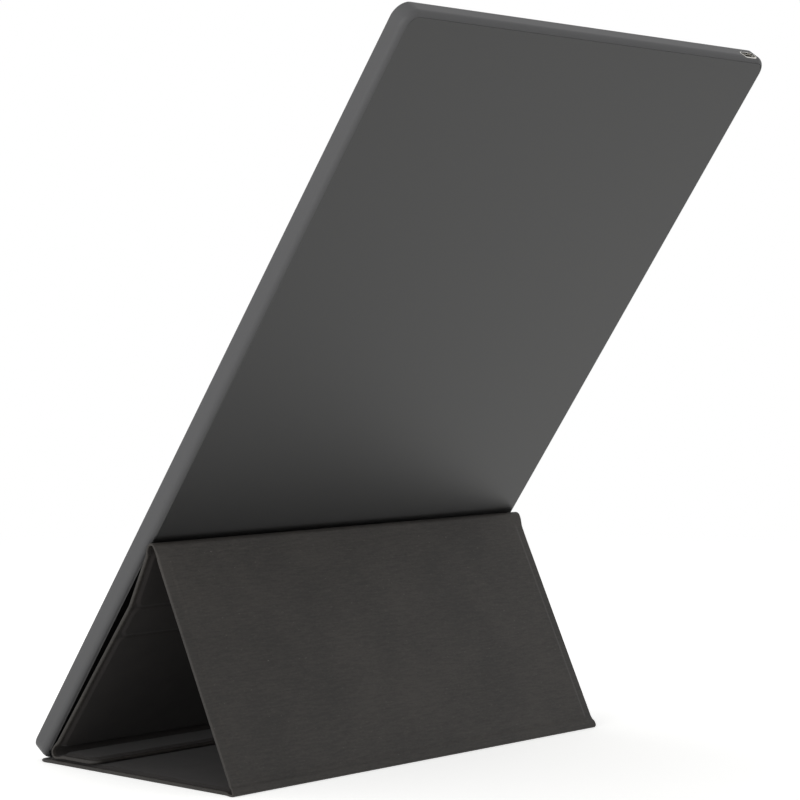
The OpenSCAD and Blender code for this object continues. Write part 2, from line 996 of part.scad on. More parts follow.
// Layer of the creased panel between two distances from the line through its axes
module creased_layer(r0, r1) {
    mid_dir = (upper_dir + lower_dir) / 2;
    mitre = 1 / cos((upper_dir - lower_dir) / 2);
    rotate([90, 0, 90])
        linear_extrude(cover_w, center = true)
            polygon([outside(ridge_y, ridge_z, upper_dir, r0),
                     outside(crease_y, crease_z, mid_dir, r0 * mitre),
                     outside(toe_y, toe_z, lower_dir, r0),
                     outside(toe_y, toe_z, lower_dir, r1),
                     outside(crease_y, crease_z, mid_dir, r1 * mitre),
                     outside(ridge_y, ridge_z, upper_dir, r1)]);
}

module front_skin() {
    color("darkslategray")
        difference() {
            creased_layer(fold_r - skin_t, fold_r);
            upper_place() seam(upper_reach);
            lower_place() seam(strip_reach);
            lower_place() seam(lower_reach);
        }
}

module front_board() {
    color("burlywood") {
        upper_place() panel_board(upper_reach, []);
        lower_place() panel_board(strip_reach, []);
        lower_place() panel_board(lower_reach, front_magnet_d);
    }
}

module front_lining() {
    color("gray")
        difference() {
            union() {
                creased_layer(fold_r - hem_t, fold_r - skin_t);
                upper_place() raised(upper_reach);
                lower_place() raised(strip_reach);
                lower_place() raised(lower_reach);
            }
            upper_place() board_room(upper_reach);
            lower_place() board_room(strip_reach);
            lower_place() board_room(lower_reach);
        }
}

module front_magnets() {
    color("silver")
        lower_place()
            panel_magnets(front_magnet_d);
}

module toe_fold() {
    color("darkslategray")
        fold_strip(toe_y, toe_z, fold_r, lower_dir - 90, 270);
}

// Tongue

tongue_reach = [fold_margin, tongue_len - border_w];

module tongue_skin() {
    color("darkslategray")
        tongue_place()
            flat_skin(0, tongue_len, 0, cover_corner_r, tongue_reach);
}

module tongue_board() {
    color("burlywood")
        tongue_place()
            panel_board(tongue_reach, [tongue_magnet_d]);
}

module tongue_lining() {
    color("gray")
        tongue_place()
            flat_lining(0, tongue_len, 0, cover_corner_r, tongue_reach);
}

module tongue_magnets() {
    color("silver")
        tongue_place()
            panel_magnets([tongue_magnet_d]);
}

side_frame();
back_plate();
front_bezel();
lcd_panel();
film_stack();
light_guide();
led_strip();
panel_mould();
backlight_tray();
bezel_gasket();
spacer_pads();
main_board();
board_chips();
shield_can();
thermal_pad();
heat_sheet();
key_board();
driver_board();
panel_flexes();
video_flex();
key_flex();
board_screws();
socket_shell();
socket_tongue();
socket_rim();
pen_sleeve();
menu_key();
power_key();
menu_switch();
power_switch();
power_lamp();
display_magnets();
base_skin();
base_board();
base_lining();
base_magnets();
rear_fold();
rear_skin();
rear_board();
rear_lining();
ridge_fold();
front_skin();
front_board();
front_lining();
front_magnets();
toe_fold();
tongue_skin();
tongue_board();
tongue_lining();
tongue_magnets();
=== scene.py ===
import json
import math

import bpy
import numpy as np
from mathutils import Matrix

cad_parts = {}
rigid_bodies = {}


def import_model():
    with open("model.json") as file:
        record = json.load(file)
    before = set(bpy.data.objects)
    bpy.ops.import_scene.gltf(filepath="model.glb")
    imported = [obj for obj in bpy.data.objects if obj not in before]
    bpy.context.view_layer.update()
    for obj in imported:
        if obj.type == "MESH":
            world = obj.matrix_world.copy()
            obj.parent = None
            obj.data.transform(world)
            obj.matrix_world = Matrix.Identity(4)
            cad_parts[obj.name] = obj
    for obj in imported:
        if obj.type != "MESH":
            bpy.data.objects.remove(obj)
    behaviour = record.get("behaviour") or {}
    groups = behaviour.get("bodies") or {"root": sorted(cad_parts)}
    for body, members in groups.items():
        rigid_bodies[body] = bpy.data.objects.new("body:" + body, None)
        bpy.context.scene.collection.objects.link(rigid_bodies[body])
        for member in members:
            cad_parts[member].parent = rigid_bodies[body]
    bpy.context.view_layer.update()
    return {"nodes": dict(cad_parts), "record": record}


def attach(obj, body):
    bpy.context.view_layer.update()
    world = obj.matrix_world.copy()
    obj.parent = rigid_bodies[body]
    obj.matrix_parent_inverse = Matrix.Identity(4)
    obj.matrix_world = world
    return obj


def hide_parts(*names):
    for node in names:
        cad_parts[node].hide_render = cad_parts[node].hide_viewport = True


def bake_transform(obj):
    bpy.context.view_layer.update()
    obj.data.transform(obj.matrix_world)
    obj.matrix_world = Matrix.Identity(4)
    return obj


for leftover in list(bpy.data.objects):  # the starting cube, lamp and camera
    bpy.data.objects.remove(leftover)
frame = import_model()
print("frame loaded:", len(frame["nodes"]), "nodes")

millimetre = 0.001


def hexColour(code):
    # sRGB to linear: below 0.04045 a straight line, above it a power of 2.4
    channels = [int(code[i:i + 2], 16) / 255 for i in (1, 3, 5)]
    return tuple(c / 12.92 if c <= 0.04045 else ((c + 0.055) / 1.055) ** 2.4 for c in channels) + (1.0,)


def addNode(owner, kind, inputs=None, **settings):
    # one node with its settings; inputs maps a socket to a value or to another node's output
    node = owner.node_tree.nodes.new(kind)
    for key, value in settings.items():
        setattr(node, key, value)
    for key, value in (inputs or {}).items():
        if isinstance(value, bpy.types.NodeSocket):
            owner.node_tree.links.new(value, node.inputs[key])
        else:
            node.inputs[key].default_value = value
    return node


def startMaterial(name):
    material = bpy.data.materials.new(name)
    material.use_nodes = True
    material.node_tree.nodes.clear()
    return material, addNode(material, "ShaderNodeTexCoord").outputs["Object"]


def finishMaterial(material, shader):
    addNode(material, "ShaderNodeOutputMaterial", {"Surface": shader.outputs[0]})
    return material


def grainScale(sizeMm):
    return 1 / (sizeMm * millimetre)  # patterns per metre of Object coordinates


cameraSettings = {
    "place": (0.7688, 0.74495, 0.18135),  # metres, fitted to the photo's straight edges
    "yaw": -2.4014,  # radians from +X, the way it looks
    "pitch": -0.02987,
    "lens": 111.33,
    "sensor": 36.0,
}


def makeCamera(settings):
    data = bpy.data.cameras.new("studioCamera")
    data.lens = settings["lens"]
    data.sensor_width = settings["sensor"]
    data.clip_start, data.clip_end = 0.05, 50
    camera = bpy.data.objects.new("studioCamera", data)
    bpy.context.scene.collection.objects.link(camera)
    camera.location = settings["place"]
    camera.rotation_euler = (math.pi / 2 + settings["pitch"], 0, settings["yaw"] - math.pi / 2)
    bpy.context.scene.camera = camera


lampSettings = {
    # place and target in metres, size in metres, power in watts
    "sideSoftbox": {"place": (1.5, 0.3, 0.3), "target": (0.0, 0.0, 0.12), "size": (1.0, 0.6), "power": 10.5},
    "rearSoftbox": {"place": (-0.5, 1.9, 1.0), "target": (0.0, 0.0, 0.15), "size": (1.6, 1.0), "power": 1.6},
    "edgeSoftbox": {"place": (-1.5, 1.35, 0.7), "target": (0.0, 0.0, 0.2), "size": (1.4, 0.9), "power": 0.8},
    "frontSoftbox": {"place": (0.3, -1.5, 1.9), "target": (0.0, 0.0, 0.1), "size": (1.6, 1.6), "power": 5.0},
}


def makeLamp(name, settings):
    data = bpy.data.lights.new(name, "AREA")
    data.shape = "RECTANGLE"
    data.size, data.size_y = settings["size"]
    data.energy = settings["power"]
    lamp = bpy.data.objects.new(name, data)
    bpy.context.scene.collection.objects.link(lamp)
    way = np.array(settings["target"]) - np.array(settings["place"])
    way = way / np.linalg.norm(way)
    lamp.location = settings["place"]
    lamp.rotation_euler = (math.acos(-way[2]), 0, math.atan2(way[1], way[0]) - math.pi / 2)
    lamp.visible_camera = False


studioSettings = {
    "skyLight": 0.62,  # how much of the white that is seen falls on the object as light
    "floorHalf": 6.0,
    "floorColour": "#f0f0ee",
    "floorLift": 0.5,  # brings the unshaded floor up to white where it is seen
    "fadeFrom": 0.45,  # metres from the middle where the floor starts to turn to plain white
    "fadeTo": 1.1,
}


def seenRay(owner):
    # 1 for a ray from the camera, a reflection or through glass, and 0 for the rays that light things
    rays = addNode(owner, "ShaderNodeLightPath").outputs
    either = addNode(owner, "ShaderNodeMath", {0: rays["Is Camera Ray"], 1: rays["Is Glossy Ray"]},
                     operation="MAXIMUM")
    seen = addNode(owner, "ShaderNodeMath", {0: either.outputs[0], 1: rays["Is Transmission Ray"]},
                   operation="MAXIMUM")
    return seen.outputs[0]


def makeSky(settings):
    world = bpy.data.worlds.new("studioSky")
    bpy.context.scene.world = world
    world.use_nodes = True
    world.node_tree.nodes.clear()
    strength = addNode(world, "ShaderNodeMapRange", {"Value": seenRay(world), "To Min": settings["skyLight"]})
    sky = addNode(world, "ShaderNodeBackground", {"Color": (1, 1, 1, 1), "Strength": strength.outputs[0]})
    addNode(world, "ShaderNodeOutputWorld", {"Surface": sky.outputs[0]})


def makeFloor(settings):
    # a flat matte sweep that takes the object's shadow; it is seen as white, and plain white far away
    half = settings["floorHalf"]
    mesh = bpy.data.meshes.new("studioFloor")
    corners = [(-half, -half, 0), (half, -half, 0), (half, half, 0), (-half, half, 0)]
    mesh.from_pydata(corners, [], [(0, 1, 2, 3)])
    floor = bpy.data.objects.new("studioFloor", mesh)
    bpy.context.scene.collection.objects.link(floor)
    paint, place = startMaterial("matteSweepPaint")
    matte = addNode(paint, "ShaderNodeBsdfDiffuse", {"Color": hexColour(settings["floorColour"])})
    glow = addNode(paint, "ShaderNodeEmission", {"Color": (1, 1, 1, 1), "Strength": settings["floorLift"]})
    lifted = addNode(paint, "ShaderNodeAddShader", {0: matte.outputs[0], 1: glow.outputs[0]})
    plain = addNode(paint, "ShaderNodeEmission", {"Color": (1, 1, 1, 1), "Strength": 1.0})
    away = addNode(paint, "ShaderNodeVectorMath", {0: place}, operation="LENGTH")
    fade = addNode(paint, "ShaderNodeMapRange",
                   {"Value": away.outputs["Value"], "From Min": settings["fadeFrom"],
                    "From Max": settings["fadeTo"]}, interpolation_type="SMOOTHSTEP")
    shown = addNode(paint, "ShaderNodeMixShader",
                    {0: fade.outputs[0], 1: lifted.outputs[0], 2: plain.outputs[0]})
    mixed = addNode(paint, "ShaderNodeMixShader",
                    {0: seenRay(paint), 1: matte.outputs[0], 2: shown.outputs[0]})
    mesh.materials.append(finishMaterial(paint, mixed))


makeCamera(cameraSettings)
for lampName, settings in lampSettings.items():
    makeLamp(lampName, settings)
makeSky(studioSettings)
makeFloor(studioSettings)
bpy.context.scene.view_settings.view_transform = "Standard"
print("studio ready")

leatherSettings = {
    "colour": "#262422",
    "light": "#35322f",
    "speck": "#56524f",
    "grainMm": 0.75,  # real grain is about 0.3 mm; drawn coarser so that it shows at this size
    "pebbleMm": 1.3,
    "streakMm": 0.8,
    "mottleMm": 30,
    "stretch": 0.5,  # the emboss runs sideways, and its streaks more so
    "streakStretch": 0.14,
    "wornFrom": 1.2,  # of the three noises added up, where the lighter tone starts and is full
    "wornTo": 1.8,
    "speckFrom": 0.69,  # only the fine grain's highest crests are specks
    "speckTo": 0.76,
    "pebbleShare": 0.6,
    "depthMm": 0.1,
    "roughness": 0.6,
    "specular": 0.3,
}


def coatedLeather(settings):
    # polyurethane-coated cloth, embossed: a dull soft shine broken by a fine grain with sparse lighter specks
    material, place = startMaterial("puLeather")
    laid = addNode(material, "ShaderNodeMapping",
                   {"Vector": place, "Scale": (settings["stretch"], 1.0, 1.0)}).outputs[0]
    drawn = addNode(material, "ShaderNodeMapping",
                    {"Vector": place, "Scale": (settings["streakStretch"], 1.0, 1.0)}).outputs[0]
    fine = addNode(material, "ShaderNodeTexNoise",
                   {"Vector": laid, "Scale": grainScale(settings["grainMm"]), "Detail": 3.0,
                    "Roughness": 0.65}).outputs["Fac"]
    pebble = addNode(material, "ShaderNodeTexVoronoi",
                     {"Vector": laid, "Scale": grainScale(settings["pebbleMm"])},
                     feature="SMOOTH_F1").outputs["Distance"]
    streak = addNode(material, "ShaderNodeTexNoise",
                     {"Vector": drawn, "Scale": grainScale(settings["streakMm"]), "Detail": 2.0})
    mottle = addNode(material, "ShaderNodeTexNoise",
                     {"Vector": place, "Scale": grainScale(settings["mottleMm"]), "Detail": 2.0})
    along = addNode(material, "ShaderNodeMath", {0: streak.outputs["Fac"], 1: mottle.outputs["Fac"]},
                    operation="ADD")
    both = addNode(material, "ShaderNodeMath", {0: fine, 1: along.outputs[0]}, operation="ADD")
    worn = addNode(material, "ShaderNodeMapRange",
                   {"Value": both.outputs[0], "From Min": settings["wornFrom"], "From Max": settings["wornTo"]})
    ground = addNode(material, "ShaderNodeMix",
                     {"Factor": worn.outputs[0], "A": hexColour(settings["colour"]),
                      "B": hexColour(settings["light"])}, data_type="RGBA")
    crest = addNode(material, "ShaderNodeMapRange",
                    {"Value": fine, "From Min": settings["speckFrom"], "From Max": settings["speckTo"]})
    colour = addNode(material, "ShaderNodeMix",
                     {"Factor": crest.outputs[0], "A": ground.outputs["Result"],
                      "B": hexColour(settings["speck"])}, data_type="RGBA")
    height = addNode(material, "ShaderNodeMath", {0: pebble, 1: settings["pebbleShare"], 2: fine},
                     operation="MULTIPLY_ADD")
    bump = addNode(material, "ShaderNodeBump", {"Height": height.outputs[0], "Strength": 0.5,
                                                "Distance": settings["depthMm"] * millimetre})
    shader = addNode(material, "ShaderNodeBsdfPrincipled",
                     {"Base Color": colour.outputs["Result"], "Roughness": settings["roughness"],
                      "Specular IOR Level": settings["specular"], "Normal": bump.outputs[0]})
    return finishMaterial(material, shader)


liningSettings = {
    "colour": "#2a2827",
    "light": "#353231",
    "napMm": 0.4,  # fibres are far finer; this is the clumping that shows
    "brushedMm": 9,
    "depthMm": 0.1,
    "roughness": 0.95,
}


def napMicrofibre(settings):
    # brushed polyester microfibre: no gloss, a faint sheen at grazing angles and a mottle where the nap lies
    material, place = startMaterial("brushedMicrofibre")
    nap = addNode(material, "ShaderNodeTexNoise",
                  {"Vector": place, "Scale": grainScale(settings["napMm"]), "Detail": 4.0})
    brushed = addNode(material, "ShaderNodeTexNoise",
                      {"Vector": place, "Scale": grainScale(settings["brushedMm"]), "Detail": 3.0})
    colour = addNode(material, "ShaderNodeMix",
                     {"Factor": brushed.outputs["Fac"], "A": hexColour(settings["colour"]),
                      "B": hexColour(settings["light"])}, data_type="RGBA")
    bump = addNode(material, "ShaderNodeBump", {"Height": nap.outputs["Fac"], "Strength": 0.4,
                                                "Distance": settings["depthMm"] * millimetre})
    shader = addNode(material, "ShaderNodeBsdfPrincipled",
                     {"Base Color": colour.outputs["Result"], "Roughness": settings["roughness"],
                      "Sheen Weight": 0.05, "Sheen Roughness": 0.5, "Specular IOR Level": 0.1,
                      "Normal": bump.outputs[0]})
    return finishMaterial(material, shader)


def texturedFinish(name, colours, grainMm, roughness, metallic=0.0, ior=1.5, specular=0.5, bumpMm=0.01):
    # a finish that is one fine even texture: two close colours and a bump share one noise of real grain size
    material, place = startMaterial(name)
    texture = addNode(material, "ShaderNodeTexNoise",
                      {"Vector": place, "Scale": grainScale(grainMm), "Detail": 3.0})
    mixed = addNode(material, "ShaderNodeMix",
                    {"Factor": texture.outputs["Fac"], "A": hexColour(colours[0]), "B": hexColour(colours[1])},
                    data_type="RGBA")
    bump = addNode(material, "ShaderNodeBump", {"Height": texture.outputs["Fac"], "Strength": 1.0,
                                                "Distance": bumpMm * millimetre})
    shader = addNode(material, "ShaderNodeBsdfPrincipled",
                     {"Base Color": mixed.outputs["Result"], "Metallic": metallic, "Roughness": roughness,
                      "Specular IOR Level": specular, "Normal": bump.outputs[0]})
    if metallic < 1:
        shader.inputs["IOR"].default_value = ior
    return finishMaterial(material, shader)


finishes = {
    "cover_leather": coatedLeather(leatherSettings),
    "cover_lining": napMicrofibre(liningSettings),
    # bead-blasted and dyed dark grey: metal that spreads a reflection into a broad soft glow, without sparkle
    "back_metal": texturedFinish("anodisedAluminium", ("#4c4c4c", "#484848"), 0.35, 0.42, metallic=1.0,
                                 bumpMm=0.003),
    # polycarbonate under a matte lacquer: soft broad highlights that follow the rounded edge
    "side_band": texturedFinish("lacqueredPolycarbonate", ("#555556", "#505051"), 0.3, 0.5, ior=1.49,
                                specular=0.2, bumpMm=0.004),
    # spark-eroded ABS: a flat dark grey whose fine pits kill the gloss
    "bezel": texturedFinish("erodedAbs", ("#17171a", "#1d1d20"), 0.45, 0.6, ior=1.54, bumpMm=0.02),
    # moulded ABS key, a shade smoother than the bezel from its polished cavity
    "key": texturedFinish("mouldedAbs", ("#1b1b1d", "#202022"), 0.4, 0.45, ior=1.54, bumpMm=0.012),
    # etched cover glass over a panel that is off: near black, with a wide hazy reflection
    "screen_glass": texturedFinish("etchedGlass", ("#0a0a0d", "#0c0c10"), 0.2, 0.24, ior=1.52,
                                   bumpMm=0.001),
    # rolled and zinc-plated sheet: pale grey with a slight cloudiness along the sheet
    "steel": texturedFinish("zincPlatedSteel", ("#b9b9b7", "#a6a6a5"), 6.0, 0.36, metallic=1.0,
                            bumpMm=0.004),
    # drawn steel under nickel: warm white metal, nearly smooth, so its rims catch sharp light lines
    "plated_shell": texturedFinish("nickelPlatedSteel", ("#d0cec9", "#c3c1bc"), 0.8, 0.24, metallic=1.0,
                                   bumpMm=0.002),
    # sintered magnet under nickel: like the shell, but duller from the grainy core
    "magnet": texturedFinish("nickelPlatedMagnet", ("#bfbfc1", "#afafb2"), 0.6, 0.32, metallic=1.0,
                             bumpMm=0.006),
    # cast PET diffuser: milky white, no gloss
    "diffuser": texturedFinish("mattePetFilm", ("#eeeeec", "#e6e6e4"), 0.5, 0.7, ior=1.57, bumpMm=0.003),
    # cast acrylic with printed dots: pale and glossy
    "clear_acrylic": texturedFinish("castAcrylic", ("#dfe8e8", "#d3dede"), 1.2, 0.12, ior=1.49,
                                    bumpMm=0.001),
    # moulded resin packages with a yellow phosphor: warm and slightly glossy
    "led": texturedFinish("phosphorResin", ("#e6dcae", "#d9cf9e"), 0.5, 0.35, ior=1.5, bumpMm=0.004),
    # moulded white polycarbonate: even, faintly glossy
    "white_mould": texturedFinish("mouldedPolycarbonate", ("#e4e4e0", "#dcdcd8"), 0.5, 0.5, ior=1.58,
                                  bumpMm=0.008),
    # closed-cell foam: matte charcoal, with open cells that read as a soft grain
    "foam": texturedFinish("closedCellFoam", ("#2b2b2b", "#1f1f1f"), 0.5, 0.95, specular=0.3, bumpMm=0.12),
    # glass-fibre laminate under solder mask: green, smooth, with the weave just telegraphing through
    "circuit_board": texturedFinish("maskedLaminate", ("#1d4a2b", "#163c22"), 0.9, 0.32, ior=1.55,
                                    bumpMm=0.01),
    # transfer-moulded epoxy: dull black, finely pitted
    "chip": texturedFinish("mouldedEpoxy", ("#1c1c1d", "#242425"), 0.25, 0.62, ior=1.55, bumpMm=0.012),
    # filled silicone sheet: pale blue, soft and matte
    "silicone_pad": texturedFinish("filledSilicone", ("#8ba6b5", "#7d97a6"), 0.6, 0.82, ior=1.43,
                                   bumpMm=0.03),
    # rolled graphite: dark grey with a greasy metallic shimmer
    "graphite": texturedFinish("rolledGraphite", ("#3d3d3f", "#323234"), 1.5, 0.38, metallic=0.6,
                               bumpMm=0.008),
    # cast polyimide film: clear amber over copper, glossy
    "amber_film": texturedFinish("polyimideFilm", ("#a9661c", "#98590f"), 1.0, 0.26, ior=1.7, bumpMm=0.002),
    # laminated polyester ribbon: white, satin
    "ribbon": texturedFinish("polyesterRibbon", ("#e3e3de", "#d6d6d2"), 1.0, 0.38, ior=1.64, bumpMm=0.004),
    # moulded clear acrylic light pipe, frosted on its face
    "lamp": texturedFinish("frostedAcrylic", ("#f0f0ee", "#e6e6e4"), 0.3, 0.35, ior=1.49, bumpMm=0.004),
    # pressed grey fibre board: rough, matte, with short fibres
    "fibre_board": texturedFinish("pressedFibreBoard", ("#8d7d62", "#786a50"), 0.8, 0.88, specular=0.3,
                                  bumpMm=0.05),
}
nodeSlots = {part["node"]: part["material_slot"] for part in frame["record"]["subparts"]}
for nodeName, nodeObject in frame["nodes"].items():
    nodeObject.data.materials.clear()
    nodeObject.data.materials.append(finishes[nodeSlots[nodeName]])
print("materials ready:", len(finishes))

coverSettings = {
    "width": 225.4,
    "foldRadius": 2.55,  # from a fold's axis out to the skin's face
    "rearRadius": 1.2,  # the rear fold is creased sharp
    "skin": 0.5,
    "lining": 0.43,
    "raisedTo": -0.2,  # height of the lining over a board, below the axis line
    "sinkRamp": 2.0,
    "foldThick": 0.95,  # leather and lining together at a fold
    "hemThick": 1.6,  # and along an open edge, where the leather is turned in
    "hemReach": 3.0,  # from a fold to the full thickness
    "footFlat": 4.0,  # the display's foot stands on this much of the thin border
    "footReach": 5.0,
    "liningRim": 0.15,
    "sinkFrom": 0.1,  # the sunk border starts and ends this far from the folds
    "sinkTo": 1.8,
    "sinkStart": 1.5,
    "sinkEnd": 4.0,
    "cavityReach": 1.2,
    "turnGap": 0.02,  # keeps the lining's edge and the turned leather from touching
    "liningGap": 0.01,  # the same between lining and leather below it
    "beyond": 60,  # more than any corner, to leave a fold's end out of the outline
    "turnIn": 1.6,  # width of the leather that is turned in over the lining's edge
    "border": 4.0,
    "rampStart": 0.15,
    "ramp": 2.2,  # how softly the lining climbs on to a board
    "rimAngle": 80,  # degrees that the rounded edge turns before its narrow flat
    "boardCorner": 2.0,
    "freeCorner": 5.0,
    "joinAt": 1.2,  # flat run beside each fold's axis that belongs to the fold's piece
    "flare": 0.6,  # how far a fold's ends spread past the panels' sides
    "flareReach": 5.0,
    "flareEdge": 7.0,  # how far in from the side the spread begins
    "flareFade": 6.0,
    "stepReach": 2.6,  # the grid is fine this far to each side of a board's edge
    "fineStep": 0.22,
    "coarseAcross": 16,
    "coarseAlong": 10,
    "sharpAngle": 40,  # degrees, above which an edge is drawn sharp
    "turnSteps": 30,
    "baseStart": (58.2318, 2.55),  # where each run starts in the side view, y and z
    "rear": (58.2318, 1.2),
    "flapStart": (57.0174, 0.6103),
    "ridge": (12.2889, 92.7250),
    "toe": (-47.0377, 5.10),
    "flap": 115.9,  # directions of the runs, degrees from +Y
    "upper": 243.9012,
    "lower": 233.1386,
    "baseFront": -117.6636,
    "baseFoot": 6.0,  # flat border under the display's foot
    "flapLength": 102.4,
    "upperLength": 27.3,
    "lowerLength": 78.877,
    "stripLength": 15.5,
    "creaseGap": 3.0,
    "creaseSoftness": 9.0,
    "foldMargin": 3.0,
    "tongueLength": 24.0,
}


def roundedBoxDistance(x, y, halfX, y0, y1, corner):
    # distance outside a rectangle whose corners are rounded: negative within it
    qx = np.abs(x) - (halfX - corner)
    qy = np.abs(y - (y0 + y1) / 2) - ((y1 - y0) / 2 - corner)
    return np.hypot(np.maximum(qx, 0), np.maximum(qy, 0)) + np.minimum(np.maximum(qx, qy), 0) - corner


def smoothRamp(t):
    t = np.clip(t, 0, 1)
    return t * t * (3 - 2 * t)


def denseAround(points, reach, step, low, high, coarse):
    # coordinates from low to high, fine near each point and coarse in between
    fine = [np.arange(point - reach, point + reach + step / 2, step) for point in points]
    values = np.concatenate([np.linspace(low, high, max(2, int((high - low) / coarse) + 1))] + fine)
    values = np.unique(np.round(np.clip(values, low, high), 4))
    apart = np.concatenate([[True], np.diff(values) > step * 0.3])
    apart[-1] = True
    return values[apart]


def rimSteps(radius, angle, count=8):
    # distances in from an edge at which a quarter round of that radius is sampled, from its start to its end
    return radius * (1 - np.sin(np.radians(np.linspace(0, angle, count))))


def panelGrid(spec, boards, low, high, freeEnds, inset, rim):
    # x across and distance along the run, for a grid drawn in from the outline; each free corner of the grid
    # is pressed into a quarter disc by u sqrt(1 - v v / 2) and v sqrt(1 - u u / 2)
    half, corner = spec["width"] / 2 - inset, spec["freeCorner"] - inset
    low, high = low + inset * freeEnds[0], high - inset * freeEnds[1]
    edge = rimSteps(rim, spec["rimAngle"])
    side = denseAround([spec["width"] / 2 - spec["border"]], spec["stepReach"], spec["fineStep"], 0, half - rim,
                       spec["coarseAcross"])
    side = np.concatenate([side[:-1], half - edge])
    marks = [y for board in boards for y in board]
    run = denseAround(marks, spec["stepReach"], spec["fineStep"], low + rim * freeEnds[0],
                      high - rim * freeEnds[1], spec["coarseAlong"])
    if freeEnds[0]:
        run = np.concatenate([low + edge[::-1], run[1:]])
    if freeEnds[1]:
        run = np.concatenate([run[:-1], high - edge])
    x, flat = np.meshgrid(np.concatenate([-side[:0:-1], side]), run)
    u = np.clip((np.abs(x) - (half - corner)) / corner, 0, 1)
    for isFree, end, outward in ((freeEnds[0], low, -1), (freeEnds[1], high, 1)):
        if isFree:
            start = end - outward * corner
            v = np.clip((flat - start) * outward / corner, 0, 1)
            inCorner = (u > 0) & (v > 0)
            x = np.where(inCorner, np.sign(x) * (half - corner + corner * u * np.sqrt(1 - v * v / 2)), x)
            flat = np.where(inCorner, start + outward * corner * v * np.sqrt(1 - u * u / 2), flat)
    return x, flat


def panelHeights(spec, x, flat, boards, low, high, freeEnds, thinEnd, sink):
    # faces of a flat panel, measured from its axis line: the inner one steps up over the boards, and on a panel
    # with a sink the border lies below the outer face and comes back out to meet a fold
    half = spec["width"] / 2
    openLow = low if freeEnds[0] else low - spec["beyond"]
    openHigh = high if freeEnds[1] else high + spec["beyond"]
    fromRim = -roundedBoxDistance(x, flat, half, openLow, openHigh, spec["freeCorner"])
    fromFold = np.full(x.shape, 99.0)
    if not freeEnds[0]:
        fromFold = np.minimum(fromFold, flat - low)
    if not freeEnds[1]:
        fromFold = np.minimum(fromFold, high - flat)
    hem = spec["hemThick"] - spec["foldThick"]
    thick = spec["foldThick"] + hem * smoothRamp(fromFold / spec["hemReach"])
    if thinEnd:  # the display stands on this end, so its border stays thin
        pastFoot = smoothRamp((flat - low - spec["footFlat"]) / spec["footReach"])
        thick = spec["foldThick"] + (thick - spec["foldThick"]) * pastFoot
    sunk = sink * smoothRamp((flat - low - spec["sinkFrom"]) / spec["sinkStart"])
    sunk = sunk * smoothRamp((high - flat - spec["sinkTo"]) / spec["sinkEnd"])
    outer = np.full(x.shape, -spec["foldRadius"])
    inner = outer + thick + sunk
    cavity = np.zeros(x.shape)
    for y0, y1 in boards:
        away = roundedBoxDistance(x, flat, half - spec["border"], y0, y1, spec["boardCorner"])
        sunk = sunk * smoothRamp((away + spec["sinkRamp"]) / spec["sinkRamp"])
        onBoard = 1 - smoothRamp((away - spec["rampStart"]) / spec["ramp"])
        inner = inner + (spec["raisedTo"] - inner) * onBoard
        cavity = np.maximum(cavity, 1 - smoothRamp(away / spec["cavityReach"]))
    return outer + sunk, inner, cavity, thick, fromRim


def roundOver(inset, radius):
    # how far a full-round edge of radius r falls back at a distance d in from its rim:
    # r - sqrt(r r - (r - d)^2)
    q = np.clip(1 - inset / radius, 0, 1)
    return radius * (1 - np.sqrt(1 - q * q))


def liftPoints(path, x, heights):
    # a point stands at its height along the run's inward normal, (-sin, cos) of the run's direction
    y, z, angle = path
    return np.stack([x, y - np.sin(angle) * heights, z + np.cos(angle) * heights], -1)


def straightPath(origin, direction, flat):
    # a straight run: the point on the axis line and the direction at each distance along it
    angle = math.radians(direction)
    return origin[0] + flat * math.cos(angle), origin[1] + flat * math.sin(angle), np.full(flat.shape, angle)


def creasedPath(spec, flat):
    # the front panel's run: two straight stretches joined at the crease by an arc, along which the heading
    # turns evenly, so the place on it is the integral of the heading's cos and sin
    turn = math.radians(spec["lower"] - spec["upper"])
    first = math.radians(spec["upper"])
    tangent = spec["creaseSoftness"] * math.tan(abs(turn) / 2)
    start = spec["upperLength"] - tangent
    rate = turn / (2 * tangent)
    along = np.clip(flat - start, 0, 2 * tangent)
    past = np.maximum(flat - start - 2 * tangent, 0)
    last = math.radians(spec["lower"])
    y, z, _ = straightPath(spec["ridge"], spec["upper"], np.minimum(flat, start))
    y = y + (np.sin(first + rate * along) - math.sin(first)) / rate + past * math.cos(last)
    z = z - (np.cos(first + rate * along) - math.cos(first)) / rate + past * math.sin(last)
    return y, z, first + rate * along


def closedShell(spec, name, outer, inner, slotName):
    # two grids of points that face away from each other, joined round their rims into one closed surface
    rows, columns = outer.shape[:2]
    count = rows * columns
    points = np.concatenate([outer.reshape(-1, 3), inner.reshape(-1, 3)]) * millimetre
    index = np.arange(count).reshape(rows, columns)
    a, b, c, d = index[:-1, :-1], index[:-1, 1:], index[1:, 1:], index[1:, :-1]
    face = np.stack([a, b, c, d], -1).reshape(-1, 4)
    back = np.stack([a, d, c, b], -1).reshape(-1, 4) + count
    ring = np.concatenate([index[0, :], index[1:, -1], index[-1, -2::-1], index[-2:0:-1, 0]])
    follow = np.roll(ring, -1)
    rim = np.stack([follow, ring, ring + count, follow + count], -1)
    mesh = bpy.data.meshes.new(name)
    mesh.from_pydata(points.tolist(), [], np.concatenate([face, back, rim]).tolist())
    mesh.shade_smooth()
    mesh.set_sharp_from_angle(angle=math.radians(spec["sharpAngle"]))
    mesh.materials.append(finishes[slotName])
    piece = bpy.data.objects.new(name, mesh)
    bpy.context.scene.collection.objects.link(piece)
    return piece


